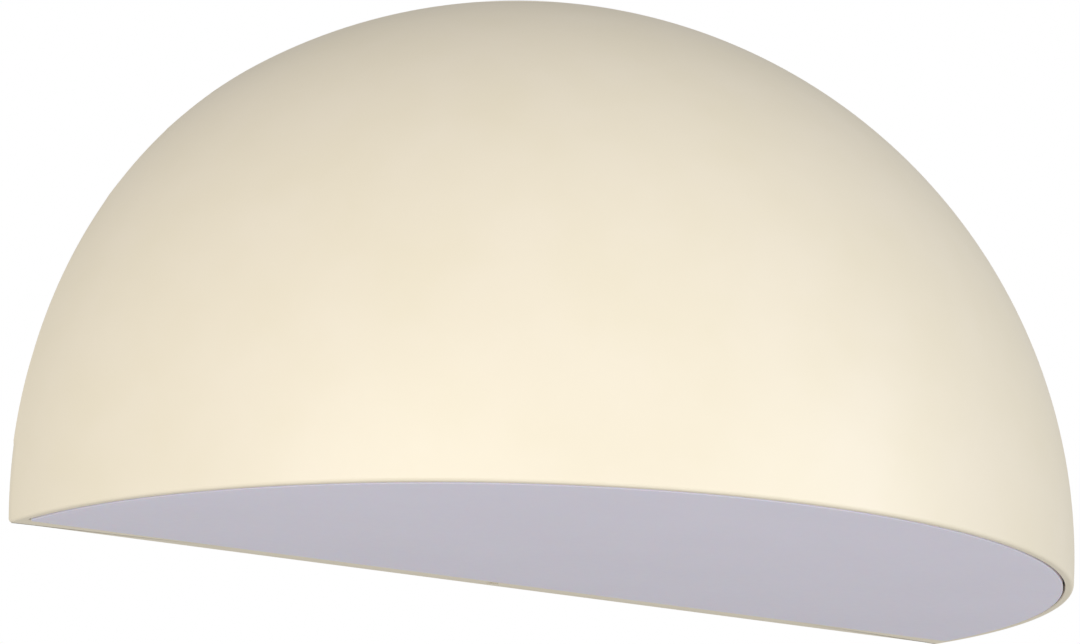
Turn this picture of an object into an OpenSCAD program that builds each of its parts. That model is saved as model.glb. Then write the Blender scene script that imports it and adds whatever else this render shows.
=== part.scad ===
// Outdoor wall light: a quarter-dome lamp head that hangs on a steel wall bracket.
// The head is a cast aluminium dome, open below, closed by a flat opal lens.
// X runs to the viewer's right, Y into the wall, Z up. The wall plane is Y = 0.
// The origin is the centre of the two wall fixings. Heights are counted from the rim.

/* [Dome] */
// Radius of the ball that the dome is cut from
dome_r = 125; // [118:1:135]
// Distance of the ball's centre in front of the wall
centre_out = 13; // [11:0.5:16]
// Height of the ball's centre above the rim
centre_up = 4.5; // [3:0.5:6]
// Wall of the casting
shell_t = 2.5; // [2.2:0.1:3]
// Bevel on the outer edge of the rim
rim_bevel = 0.7; // [0.4:0.1:1]
// Lip that shows around the lens
lip_w = 1.9; // [1.7:0.05:2.1]

/* [Back of the dome] */
// Strip of casting between the lens and the wall
strip_w = 5.3; // [5.2:0.1:6]
// Thickness of that strip
strip_t = 2.5; // [2:0.1:3]
// Back wall of the lamp chamber
web_t = 2; // [1.8:0.1:2.6]
// Depth of the recess that takes the wall bracket
recess_d = 10; // [9.5:0.5:11.5]
// Width of the foam seal against the wall
wall_seal_w = 4; // [3:0.5:5]
// Thickness of the foam seal
wall_seal_t = 2; // [1.5:0.1:2.5]

/* [Lens] */
// Thickness of the opal lens
lens_t = 3; // [2.6:0.1:3.6]
// How far the lens stands below the rim
lens_proud = 0.2; // [0:0.05:0.5]
// Shadow gap between the lens and the lip
lens_gap = 0.5; // [0.4:0.05:0.7]
// Corner radius at the back of the lens
lens_corner = 1.5; // [1.2:0.1:2.5]
// Width of the silicone seal under the ledge
lens_seal_w = 2.2; // [1.8:0.1:2.6]
// Thickness of the silicone seal
lens_seal_t = 1.3; // [1:0.1:1.8]
// Width of the ledge inside the rim
ledge_w = 3.8; // [3.4:0.1:4.2]
// Thickness of the ledge
ledge_t = 2.5; // [2:0.1:3]
// Diameter of the lens pegs
peg_d = 5; // [4:0.25:6]

/* [Light engine] */
// Height of the tray's underside above the rim
tray_z = 22; // [20:0.5:26]
// Thickness of the aluminium tray
tray_t = 2; // [1.5:0.1:3]
// Distance from the tray's round edge to the LED board's
board_inset = 18; // [17:0.5:20]
// Distance from the wall to the board's straight edge
board_back = 30; // [29:0.5:33]
// Thickness of the LED board
board_t = 1.6; // [1.2:0.1:2]
// Thickness of the thermal pad
pad_t = 0.5; // [0.3:0.1:1]
// Spacing of the LEDs along a row
led_step_x = 24; // [22:1:26]
// Spacing of the LED rows
led_step_y = 22; // [20:1:24]
// Wall of the white reflector
reflector_t = 1.5; // [1.2:0.1:2]

/* [Driver] */
// Length of the LED driver
driver_l = 120; // [110:1:126]
// Width of the LED driver
driver_w = 42; // [38:1:44]
// Height of the LED driver
driver_h = 26; // [24:1:32]
// Wall of the driver's case
driver_wall = 1.6; // [1.4:0.1:2]
// Gap between the driver and the terminal block
driver_gap = 10; // [9:0.5:12]

/* [Terminal block] */
// Width of one pole of the terminal block
pole_w = 11; // [10:0.5:11.5]
// Depth of the terminal block
block_d = 18; // [16:1:19]
// Height of the terminal block
block_h = 17; // [15:1:22]
// Diameter of the internal leads
lead_d = 2.2; // [1.8:0.1:2.4]

/* [Wall bracket] */
// Width of the wall bracket
bracket_w = 160; // [150:1:170]
// Thickness of the bracket's sheet
bracket_t = 1.5; // [1.2:0.1:2]
// Height of the wall fixings above the rim
fixing_h = 60; // [56:1:64]
// Distance between the two wall fixings
fixing_span = 120; // [110:1:130]
// Length of a fixing slot
slot_l = 14; // [10:1:18]
// Width of a fixing slot
slot_w = 5.5; // [4.5:0.25:6.5]
// Diameter of the cable opening
cable_hole_d = 40; // [36:1:46]
// Distance of each hook from the middle
hook_x = 45; // [40:1:50]
// Width of a hook
hook_w = 12; // [10:1:16]
// Height that the head is lifted to come off its hooks
head_travel = 8; // [8:0.5:10]

/* [Cable entry] */
// Bore of the rubber grommet
grommet_bore = 8; // [7:0.5:9]
// Diameter of the grommet's neck
grommet_neck = 14; // [12.5:0.5:16]

/* [Fits] */
// Gap beside a part that moves
clear = 0.3; // [0.25:0.05:0.4]
// Gap around a screw or peg in its own hole
snug = 0.06; // [0.04:0.01:0.1]

/* [Hidden] */
$fn = 96;
// Facets of the large round surfaces
fine = 240;

// Overshoot of a cut past the face that it opens
over = 1;
// Room that holds the whole light
room = 3 * dome_r;

// Chamber and ledge
inner_r = dome_r - shell_t;
rim_r = sqrt(pow(dome_r, 2) - pow(centre_up, 2));
pocket_r = rim_r - lip_w;
lens_r = pocket_r - lens_gap;
lens_back = strip_w + lens_gap;
lens_top = lens_t - lens_proud;
seal_inset = 0.65;
seal_corner = 4.35;
ledge_z = lens_top + lens_seal_t + clear;
ledge_top = ledge_z + ledge_t;
opening_r = pocket_r - ledge_w;
web_out = recess_d + web_t;
ledge_back = web_out + web_t;
inner_corner = 6;
recess_r = inner_r - wall_seal_w;

// Tray and what it carries
tray_gap = 1.2;
tray_back_gap = 1;
tray_r = opening_r - tray_gap;
tray_back = ledge_back + tray_back_gap;
tray_top = tray_z + tray_t;
reflector_gap = 1;
reflector_foot = lens_top + reflector_gap;
board_r = tray_r - board_inset;
board_bottom = tray_z - pad_t - board_t;
led_size = [3.5, 2.8, 0.7];
board_edge = 6;
first_row = 10;
row_out = board_back + first_row;
tray_screw_d = 4;
board_screw_d = 3;
boss_d = 9;
boss_inset = 7;
boss_ring = tray_r - boss_inset;
boss_angle = 62;
boss_depth = 12;
web_boss_x = 70;
web_boss_h = 20;
web_boss_inset = 7.5;
web_boss_out = tray_back + web_boss_inset;
tray_fixings = concat(
    [for (a = [-boss_angle, 0, boss_angle]) ring_point(boss_ring, a)],
    [for (s = [-1, 1]) [s * web_boss_x, -web_boss_out]]);

// Pegs of the lens and their bushes
peg_inset = 8;
peg_side_inset = 18;
peg_ring = tray_r - peg_inset;
peg_angle = 32;
peg_back_x = tray_r - peg_side_inset;
peg_back_out = tray_back + peg_inset;
bush_wall = 1.5;
bush_d = peg_d + 2 * bush_wall;
bush_flange_d = bush_d + 2 * bush_wall;
bush_lip = 1.5;
peg_end = 1.5;
peg_top = tray_top + bush_lip + peg_end;
peg_foot_rim = 1.5;
peg_foot_d = peg_d + 2 * peg_foot_rim;
peg_foot_h = 3;
pegs = concat(
    [for (s = [-1, 1]) ring_point(peg_ring, s * peg_angle)],
    [for (s = [-1, 1]) [s * peg_back_x, -peg_back_out]]);

// LED positions, row by row, kept off the board's edge
led_rows = 4;
led_columns = 8;
led_margin = 6;
leds = [for (row = [0:led_rows - 1], column = [0:led_columns - 1])
    let (x = (column - (led_columns - 1) / 2) * led_step_x, y = -row_out - row * led_step_y)
    if (norm([x, y + centre_out]) < board_r - led_margin) [x, y]];
board_fixings = [
    [-3 * led_step_x, -row_out - led_step_y / 2], [3 * led_step_x, -row_out - led_step_y / 2],
    [0, -row_out - 1.5 * led_step_y],
    [-1.5 * led_step_x, -row_out - 2.5 * led_step_y], [1.5 * led_step_x, -row_out - 2.5 * led_step_y]];
wire_hole_d = 9;
wire_hole_inset = 6;
wire_hole_out = board_back - wire_hole_inset;
connector_size = [10, 8, 4];
connector_gap = 4;
mouth_depth = 3;
lead_space = 0.9;
pad_inset = 1;

// Terminal block and earth tag
poles = 3;
block_end_w = 7;
block_foot_h = 4;
block_l = poles * pole_w + 2 * block_end_w;
block_x = -36;
block_inset = 12;
block_out = tray_back + block_inset;
pole_screw_d = 4;
pole_bore_d = 4;
pole_bore_z = 7;
block_screw_d = 3;
pole_screw_sink = 1;
pole_slot_w = 0.8;
tag_x = -72;
tag_inset = 24;
tag_out = tray_back + tag_inset;
tag_t = 0.8;
tag_d = 9;
tag_tail = 10;

// Driver
driver_out = block_out + block_d / 2 + driver_gap + driver_w / 2;
driver_split = 0.45;
driver_base_h = driver_h * driver_split;
ear_l = 12;
ear_w = 14;
ear_t = 2;
ear_x = driver_l / 2 + ear_l / 2;
driver_screw_d = 4;
driver_floor = tray_top + driver_wall;
pillar_h = 2;
pillar_d = 4;
driver_board_z = driver_floor + pillar_h;
driver_board_t = 1.6;
driver_parts_z = driver_board_z + driver_board_t;
case_gap = 0.4;
transformer_size = [24, 20, 14];
capacitor_d = 10;
capacitor_h = 15;
capacitor_places = [-0.32, -0.22, 0.26];
lead_up = 4;
lead_z = tray_top + driver_base_h + lead_up;

// Wall bracket
bracket_corner = 5;
plate_drop = 43;
plate_gap = 2.5;
plate_reach = sqrt(pow(recess_r, 2) - pow(centre_out, 2)) - plate_gap;
flange_z = fixing_h - plate_drop;
bracket_top = centre_up + sqrt(pow(plate_reach, 2) - pow(bracket_w / 2 - bracket_corner, 2));
flange_w = 18;
flange_d = 8;
lock_d = 2.5;
lock_len = 20;
lock_gap = 0.35;
lock_out = bracket_t + lock_gap + lock_d / 2;
lock_set = 0.4;
lock_socket = 0.58;
lock_socket_h = 1.5;
lock_boss_w = 8;
lock_boss_h = 7.5;
lock_boss_inset = 0.5;
lock_boss = [lock_boss_w, strip_w - lock_boss_inset, lock_boss_h];
hook_out = 5.1;
hook_spare = 1;
hook_depth = head_travel - hook_spare;
hook_top = bracket_top + head_travel;
lug_side = 2;
lug_w = hook_w + 2 * lug_side;
lug_t = 2;
lug_roof = 3;
lug_z = hook_top + clear;
stud_d = 4;
stud_len = 8;
stud_x = -30;
stud_drop = 25;
stud_z = fixing_h - stud_drop;
washer_t = 0.8;
washer_ratio = 2.25;
nut_ratio = 2.02;
nut_height = 0.8;

// Vent plug
vent_x = 70;
vent_rise = 10;
vent_z = fixing_h + vent_rise;
vent_stem = 8;
vent_head = 14;
vent_head_t = 3;
vent_nut_t = 3;
vent_nut_ratio = 1.7;
vent_end = 2;

// Cable grommet
grommet_rim = 3;
grommet_flange_d = grommet_neck + 2 * grommet_rim;
grommet_flange_t = 2;
grommet_nose_l = 10;
grommet_nose_wall = 1.5;
grommet_nose_d = grommet_bore + 2 * grommet_nose_wall;
grommet_len = 2 * grommet_flange_t + web_t + grommet_nose_l;

// Screw heads and nuts, as multiples of the thread
head_ratio = 2;
head_height = 0.65;
socket_ratio = 0.9;
socket_height = 0.4;
screw_spare = 2;

// A point on a ring round the ball's centre, at an angle from straight ahead
function ring_point(r, a) = [r * sin(a), -centre_out - r * cos(a)];

// Heights are drawn from the rim, and the part is then moved to its fixings
module from_rim() {
    translate([0, 0, -fixing_h]) children();
}

// Flat outline of the lens: a disc with a straight back and two round corners
module d_shape(r, back, corner) {
    dy = centre_out - back - corner;
    corner_x = sqrt(pow(r - corner, 2) - pow(dy, 2));
    translate([0, -centre_out]) {
        intersection() {
            circle(r, $fn = fine);
            translate([-r, -r]) square([2 * r, r + r * dy / (r - corner)]);
        }
        translate([-corner_x, dy - corner]) square([2 * corner_x, 2 * corner]);
        for (s = [-1, 1]) translate([s * corner_x, dy]) circle(corner);
    }
}

// A ball round the dome's centre
module ball(r) {
    translate([0, -centre_out, centre_up]) sphere(r, $fn = fine);
}

// Quarter ball with a flat back and foot, its rim bevelled
module dome_solid() {
    foot_r = rim_r - rim_bevel;
    intersection() {
        ball(dome_r);
        translate([0, -centre_out, 0]) cylinder(r1 = foot_r, r2 = foot_r + room, h = room, $fn = fine);
        translate([-room / 2, -room, 0]) cube([room, room, room]);
    }
}

// Screw with a pan head, pointing up, its head below the origin
module pan_screw(d, length) {
    translate([0, 0, -head_height * d]) difference() {
        cylinder(d = head_ratio * d, h = head_height * d);
        translate([0, 0, -over]) cylinder(d = socket_ratio * d, h = over + socket_height * d, $fn = 6);
    }
    cylinder(d = d, h = length);
}

// Smooth curve through a list of points
function curve_point(a, b, c, d, t) =
    0.5 * (2 * b + (c - a) * t + (2 * a - 5 * b + 4 * c - d) * pow(t, 2)
        + (3 * b - a - 3 * c + d) * pow(t, 3));
function smooth_path(p, steps) = concat(
    [for (i = [0:len(p) - 2], k = [0:steps - 1])
        curve_point(p[max(i - 1, 0)], p[i], p[i + 1], p[min(i + 2, len(p) - 1)], k / steps)],
    [p[len(p) - 1]]);
function unit(v) = v / norm(v);
function headings(p) = [for (i = [0:len(p) - 1])
    unit(p[min(i + 1, len(p) - 1)] - p[max(i - 1, 0)])];
function side_vectors(t, last, i = 0) = i == len(t) ? [] :
    let (side = unit(last - (last * t[i]) * t[i])) concat([side], side_vectors(t, side, i + 1));

// A lead: one round tube along a smooth curve
module lead(points) {
    sides = 8;
    path = smooth_path(points, 4);
    along = headings(path);
    out = side_vectors(along, [0.1, 0.3, 1]);
    rings = len(path);
    skin = [for (i = [0:rings - 1], k = [0:sides - 1])
        path[i] + lead_d / 2 * (cos(360 * k / sides) * out[i]
            + sin(360 * k / sides) * cross(along[i], out[i]))];
    walls = [for (i = [0:rings - 2], k = [0:sides - 1])
        let (a = i * sides + k, b = i * sides + (k + 1) % sides)
        each [[a, a + sides, b + sides], [a, b + sides, b]]];
    first_end = [for (k = [0:sides - 1]) k];
    last_end = [for (k = [sides - 1:-1:0]) (rings - 1) * sides + k];
    polyhedron(skin, concat(walls, [first_end, last_end]));
}

// Galvanised plate with fixing slots, cable opening, two hooks and a lower flange
module wall_bracket() {
    bend = hook_out + bracket_t;
    color("silver") from_rim() {
        difference() {
            union() {
                translate([0, 0, flange_z]) rotate([90, 0, 0]) linear_extrude(bracket_t)
                    plate_outline();
                translate([-flange_w / 2, -flange_d, flange_z])
                    cube([flange_w, flange_d, bracket_t]);
                for (s = [-1, 1]) translate([s * hook_x - hook_w / 2, 0, 0]) {
                    translate([0, -bend, bracket_top - bracket_t])
                        cube([hook_w, bend, bracket_t]);
                    translate([0, -bend, bracket_top - bracket_t])
                        cube([hook_w, bracket_t, hook_top - bracket_top + bracket_t]);
                }
            }
            translate([0, over, fixing_h]) rotate([90, 0, 0])
                cylinder(d = cable_hole_d, h = bracket_t + 2 * over);
            for (s = [-1, 1]) translate([s * fixing_span / 2, over, fixing_h])
                rotate([90, 0, 0]) linear_extrude(bracket_t + 2 * over) fixing_slot();
            translate([0, -lock_out, flange_z - over])
                cylinder(r = lock_d / 2 + clear, h = bracket_t + 2 * over);
            translate([stud_x, over, stud_z]) rotate([90, 0, 0])
                cylinder(r = stud_d / 2 + snug, h = bracket_t + 2 * over);
        }
    }
}

module plate_outline() {
    height = bracket_top - flange_z;
    cut = bracket_corner;
    polygon([[-bracket_w / 2, cut], [cut - bracket_w / 2, 0], [bracket_w / 2 - cut, 0],
        [bracket_w / 2, cut], [bracket_w / 2, height - cut], [bracket_w / 2 - cut, height],
        [cut - bracket_w / 2, height], [-bracket_w / 2, height - cut]]);
}

module fixing_slot() {
    run = slot_l - slot_w;
    translate([-run / 2, -slot_w / 2]) square([run, slot_w]);
    for (s = [-1, 1]) translate([s * run / 2, 0]) circle(d = slot_w);
}

// Stud pressed into the bracket for the supply's earth wire
module earth_stud() {
    color("goldenrod") from_rim() translate([stud_x, 0, stud_z]) rotate([90, 0, 0])
        cylinder(d = stud_d, h = stud_len);
}

module earth_washer() {
    color("gainsboro") from_rim() translate([stud_x, -bracket_t, stud_z]) rotate([90, 0, 0])
        difference() {
            cylinder(d = washer_ratio * stud_d, h = washer_t);
            translate([0, 0, -over]) cylinder(r = stud_d / 2 + snug, h = washer_t + 2 * over);
        }
}

module earth_nut() {
    color("goldenrod") from_rim() translate([stud_x, -bracket_t - washer_t, stud_z])
        rotate([90, 0, 0]) difference() {
            cylinder(d = nut_ratio * stud_d, h = nut_height * stud_d, $fn = 6);
            translate([0, 0, -over]) cylinder(r = stud_d / 2 + snug, h = stud_d + 2 * over);
        }
}

// Cast quarter dome: shell, ledge for the lens, back wall, recess for the bracket
module dome_housing() {
    color("#efe5c8") from_rim() {
        difference() {
            union() {
                shell();
                tray_bosses();
                hook_lugs();
                translate([-lock_boss.x / 2, -strip_w, over])
                    cube([lock_boss.x, lock_boss.y, lock_boss.z - over]);
            }
            for (p = tray_fixings) translate([p.x, p.y, tray_top - over])
                cylinder(r = tray_screw_d / 2 + snug, h = boss_depth + over);
            translate([0, -lock_out, -over])
                cylinder(r = lock_d / 2 + snug, h = lock_boss.z + 2 * over);
            web_hole(0, fixing_h, grommet_neck / 2);
            web_hole(vent_x, vent_z, vent_stem / 2 + snug);
        }
    }
}

module web_hole(x, z, r) {
    translate([x, -recess_d + over, z]) rotate([90, 0, 0]) cylinder(r = r, h = web_t + 2 * over);
}

module shell() {
    difference() {
        dome_solid();
        intersection() {
            ball(inner_r);
            translate([-room / 2, -room - web_out, ledge_top]) cube([room, room, room]);
        }
        translate([0, 0, -over]) linear_extrude(ledge_z + over)
            d_shape(pocket_r, strip_w, lens_corner + lens_gap);
        linear_extrude(ledge_top + over) d_shape(opening_r, ledge_back, inner_corner);
        intersection() {
            ball(recess_r);
            translate([-room / 2, -recess_d, ledge_top]) cube([room, room, room]);
        }
        intersection() {
            ball(recess_r);
            translate([-room / 2, web_t - strip_w, strip_t]) cube([room, room, room]);
        }
        intersection() {
            ball(inner_r);
            translate([-room / 2, -wall_seal_t, centre_up + 2 * strip_t])
                cube([room, room, room]);
        }
    }
}

// Screw bosses for the tray: three run up into the dome, two stand on the back wall
module tray_bosses() {
    for (a = [-boss_angle, 0, boss_angle]) {
        p = ring_point(boss_ring, a);
        intersection() {
            translate([p.x, p.y, tray_top]) cylinder(d = boss_d, h = dome_r);
            ball(dome_r - shell_t / 2);
        }
    }
    for (s = [-1, 1]) translate([s * web_boss_x, -web_boss_out, tray_top]) {
        cylinder(d = boss_d, h = web_boss_h);
        translate([-boss_d / 3, 0, 0])
            cube([2 * boss_d / 3, web_boss_out - web_out + web_t / 2, web_boss_h]);
    }
}

// Lugs in the recess that drop behind the bracket's hooks
module hook_lugs() {
    for (s = [-1, 1]) translate([s * hook_x - lug_w / 2, 0, 0]) {
        translate([0, -recess_d - web_t / 2, lug_z])
            cube([lug_w, recess_d + web_t / 2 - hook_out + clear * 2 + lug_t, lug_roof]);
        translate([0, -hook_out + 2 * clear, lug_z - hook_depth])
            cube([lug_w, lug_t, hook_depth + lug_roof / 2]);
    }
}

// Foam strip against the wall, open at the foot so that water drains
module wall_seal() {
    color("dimgray") from_rim() intersection() {
        difference() {
            ball(inner_r - snug);
            ball(recess_r);
        }
        translate([-room / 2, -wall_seal_t, centre_up + 2 * strip_t])
            cube([room, wall_seal_t, room]);
    }
}

// Grub screw that stops the head's foot from coming forward
module lock_screw() {
    color("gainsboro") from_rim() translate([0, -lock_out, lock_set]) difference() {
        cylinder(d = lock_d, h = lock_len);
        translate([0, 0, -over])
            cylinder(d = lock_socket * lock_d, h = over + lock_socket_h, $fn = 6);
    }
}

// Rubber grommet for the supply cable, with a tapered nose inside the head
module cable_grommet() {
    color("#2b2b2b") from_rim() translate([0, grommet_flange_t - recess_d, fixing_h])
        rotate([90, 0, 0]) difference() {
            union() {
                cylinder(d = grommet_flange_d, h = grommet_flange_t);
                translate([0, 0, grommet_flange_t]) cylinder(d = grommet_neck - 2 * snug, h = web_t);
                translate([0, 0, grommet_flange_t + web_t])
                    cylinder(d = grommet_flange_d, h = grommet_flange_t);
                translate([0, 0, 2 * grommet_flange_t + web_t])
                    cylinder(d1 = grommet_neck, d2 = grommet_nose_d, h = grommet_nose_l);
            }
            translate([0, 0, -over]) cylinder(d = grommet_bore, h = grommet_len + 2 * over);
        }
}

// Pressure vent in the back wall
module vent_plug() {
    color("#3c3c3c") from_rim() translate([vent_x, vent_head_t - recess_d, vent_z])
        rotate([90, 0, 0]) {
            cylinder(d = vent_head, h = vent_head_t);
            translate([0, 0, vent_head_t]) cylinder(d = vent_stem, h = web_t + vent_nut_t + vent_end);
        }
}

module vent_nut() {
    color("#3c3c3c") from_rim() translate([vent_x, -web_out, vent_z]) rotate([90, 0, 0])
        difference() {
            cylinder(d = vent_nut_ratio * vent_stem, h = vent_nut_t, $fn = 6);
            translate([0, 0, -over])
                cylinder(r = vent_stem / 2 + snug, h = vent_nut_t + 2 * over);
        }
}

// Aluminium plate that carries the LED board below and the driver above
module gear_tray() {
    color("lightgray") from_rim() translate([0, 0, tray_z]) difference() {
        linear_extrude(tray_t) d_shape(tray_r, tray_back, inner_corner);
        tray_holes(tray_fixings, tray_screw_d / 2 + snug);
        tray_holes(pegs, bush_d / 2);
        tray_holes(board_fixings, board_screw_d / 2 + snug);
        tray_holes([for (s = [-1, 1]) [s * ear_x, -driver_out]], driver_screw_d / 2 + snug);
        tray_holes(block_fixings(), block_screw_d / 2 + snug);
        tray_holes([[tag_x, -tag_out]], tray_screw_d / 2 + snug);
        tray_holes([[0, -wire_hole_out]], wire_hole_d / 2);
    }
}

module tray_holes(points, r) {
    for (p = points) translate([p.x, p.y, -over]) cylinder(r = r, h = tray_t + 2 * over);
}

module tray_screws() {
    color("gainsboro") from_rim() for (p = tray_fixings) translate([p.x, p.y, tray_z])
        pan_screw(tray_screw_d, tray_t + boss_depth - screw_spare);
}

// Rubber bushes in the tray that grip the lens pegs
module peg_bushes() {
    color("#2b2b2b") from_rim() for (p = pegs) translate([p.x, p.y, tray_z - bush_lip])
        difference() {
            union() {
                cylinder(d = bush_flange_d, h = bush_lip);
                cylinder(r = bush_d / 2 - snug, h = tray_t + 2 * bush_lip);
                translate([0, 0, tray_t + bush_lip]) cylinder(d = bush_flange_d, h = bush_lip);
            }
            translate([0, 0, -over])
                cylinder(r = peg_d / 2 + snug, h = tray_t + 2 * bush_lip + 2 * over);
        }
}

// White wall round the light chamber
module reflector() {
    color("white") from_rim() translate([0, 0, reflector_foot])
        linear_extrude(tray_z - reflector_foot) difference() {
            d_shape(tray_r, tray_back, inner_corner);
            d_shape(tray_r - reflector_t, tray_back + reflector_t, inner_corner - reflector_t);
        }
}

module thermal_pad() {
    color("#8fa3b8") from_rim() translate([0, 0, tray_z - pad_t])
        linear_extrude(pad_t) board_outline(board_r - pad_inset);
}

// Outline shared by the LED board and its pad, with the screw holes
module board_outline(r) {
    difference() {
        d_shape(r, board_back, board_edge);
        for (p = board_fixings) translate(p) circle(board_screw_d / 2 + snug);
    }
}

module led_board() {
    color("ivory") from_rim() translate([0, 0, board_bottom])
        linear_extrude(board_t) board_outline(board_r);
}

module led_chips() {
    color("#f4d35e") from_rim() for (p = leds)
        translate([p.x - led_size.x / 2, p.y - led_size.y / 2, board_bottom - led_size.z])
            cube(led_size);
}

module board_screws() {
    color("gainsboro") from_rim() for (p = board_fixings) translate([p.x, p.y, board_bottom])
        pan_screw(board_screw_d, board_t + pad_t + tray_t - clear);
}

// Push-in connector on the LED board, its two mouths towards the wall
module board_connector() {
    color("white") from_rim()
        translate([-connector_size.x / 2, connector_front(), board_bottom - connector_size.z])
            difference() {
                cube(connector_size);
                for (s = [-1, 1]) translate([connector_size.x / 2 + s * lead_step(),
                        connector_size.y + over, connector_size.z / 2])
                    rotate([90, 0, 0]) cylinder(r = lead_d / 2 + 2 * snug, h = mouth_depth + over);
            }
}
function connector_front() = -board_back - connector_gap - connector_size.y;
function lead_step() = lead_d / 2 + lead_space;

// Driver case, lower half, with its two fixing ears
module driver_base() {
    color("white") from_rim() translate([0, -driver_out, tray_top]) difference() {
        union() {
            translate([-driver_l / 2, -driver_w / 2, 0]) cube([driver_l, driver_w, driver_base_h]);
            for (s = [-1, 1]) translate([s * (ear_x - over) - ear_l / 2, -ear_w / 2, 0])
                cube([ear_l, ear_w, ear_t]);
        }
        translate([driver_wall - driver_l / 2, driver_wall - driver_w / 2, driver_wall])
            cube([driver_l - 2 * driver_wall, driver_w - 2 * driver_wall, driver_h]);
        for (s = [-1, 1]) translate([s * ear_x, 0, -over])
            cylinder(r = driver_screw_d / 2 + snug, h = ear_t + 2 * over);
    }
}

module driver_lid() {
    lid_h = driver_h - driver_base_h;
    color("whitesmoke") from_rim() translate([0, -driver_out, tray_top + driver_base_h])
        difference() {
            translate([-driver_l / 2, -driver_w / 2, 0]) cube([driver_l, driver_w, lid_h]);
            translate([driver_wall - driver_l / 2, driver_wall - driver_w / 2, -over])
                cube([driver_l - 2 * driver_wall, driver_w - 2 * driver_wall,
                    lid_h - driver_wall + over]);
            for (x = [-1, 1], s = [-1, 1]) translate([x * driver_l / 2, s * lead_step(), lead_up])
                rotate([0, 90, 0]) cylinder(r = lead_d / 2 + 2 * snug, h = 4 * driver_wall,
                    center = true);
        }
}

module driver_screws() {
    color("gainsboro") from_rim() for (s = [-1, 1])
        translate([s * ear_x, -driver_out, tray_top + ear_t]) rotate([180, 0, 0])
            pan_screw(driver_screw_d, ear_t + tray_t - clear);
}

// Driver's circuit board on four pillars
module driver_board() {
    length = driver_l - 2 * driver_wall - 2 * case_gap;
    width = driver_w - 2 * driver_wall - 2 * case_gap;
    color("#3f7f4f") from_rim() translate([0, -driver_out, 0]) {
        translate([-length / 2, -width / 2, driver_board_z]) cube([length, width, driver_board_t]);
        for (x = [-1, 1], y = [-1, 1])
            translate([x * (length / 2 - pillar_d), y * (width / 2 - pillar_d), driver_floor])
                cylinder(d = pillar_d, h = pillar_h);
    }
}

module driver_transformer() {
    color("#d8b24a") from_rim()
        translate([-transformer_size.x / 2, -driver_out - transformer_size.y / 2, driver_parts_z])
            cube(transformer_size);
}

module driver_capacitors() {
    color("#30466b") from_rim() for (x = capacitor_places)
        translate([x * driver_l, -driver_out, driver_parts_z])
            cylinder(d = capacitor_d, h = capacitor_h);
}

// Three-pole terminal block for the supply: earth, neutral and live from the left
function pole_x(i) = block_x + (i - (poles - 1) / 2) * pole_w;
function block_fixings() = [for (s = [-1, 1])
    [block_x + s * (block_l - block_end_w) / 2, -block_out]];
module terminal_block() {
    body_l = poles * pole_w;
    color("#e9e9e4") from_rim() translate([block_x, -block_out, tray_top]) difference() {
        union() {
            translate([-body_l / 2, -block_d / 2, 0]) cube([body_l, block_d, block_h]);
            translate([-block_l / 2, -block_d / 2, 0]) cube([block_l, block_d, block_foot_h]);
        }
        for (i = [0:poles - 1]) translate([pole_x(i) - block_x, 0, pole_bore_z]) {
            rotate([90, 0, 0]) cylinder(d = pole_bore_d, h = block_d + 2 * over, center = true);
            for (s = [-1, 1]) translate([0, s * block_d / 4, 0])
                cylinder(r = pole_screw_d / 2 + snug, h = block_h);
        }
        for (s = [-1, 1]) translate([s * (block_l - block_end_w) / 2, 0, -over])
            cylinder(r = block_screw_d / 2 + snug, h = block_h);
    }
}

module terminal_screws() {
    length = block_h - pole_bore_z - pole_bore_d / 2 - pole_screw_sink;
    color("silver") from_rim() for (i = [0:poles - 1], s = [-1, 1])
        translate([pole_x(i), -block_out + s * block_d / 4, tray_top + block_h - pole_screw_sink])
            mirror([0, 0, 1]) difference() {
                cylinder(d = pole_screw_d, h = length);
                translate([-pole_screw_d, -pole_slot_w / 2, -over])
                    cube([2 * pole_screw_d, pole_slot_w, over + pole_slot_w]);
            }
}

module block_screws() {
    color("gainsboro") from_rim() for (p = block_fixings())
        translate([p.x, p.y, tray_top + block_foot_h]) rotate([180, 0, 0])
            pan_screw(block_screw_d, block_foot_h + tray_t - clear);
}

// Ring tag of the earth lead, under its screw on the tray
module earth_tag() {
    color("gainsboro") from_rim() translate([tag_x, -tag_out, tray_top]) difference() {
        union() {
            cylinder(d = tag_d, h = tag_t);
            translate([0, -lead_d / 2, 0]) cube([tag_tail, lead_d, tag_t]);
        }
        translate([0, 0, -over]) cylinder(r = tray_screw_d / 2 + snug, h = tag_t + 2 * over);
    }
}

module earth_tag_screw() {
    color("goldenrod") from_rim() translate([tag_x, -tag_out, tray_top + tag_t])
        rotate([180, 0, 0]) pan_screw(tray_screw_d, tag_t + tray_t - clear);
}

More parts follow.
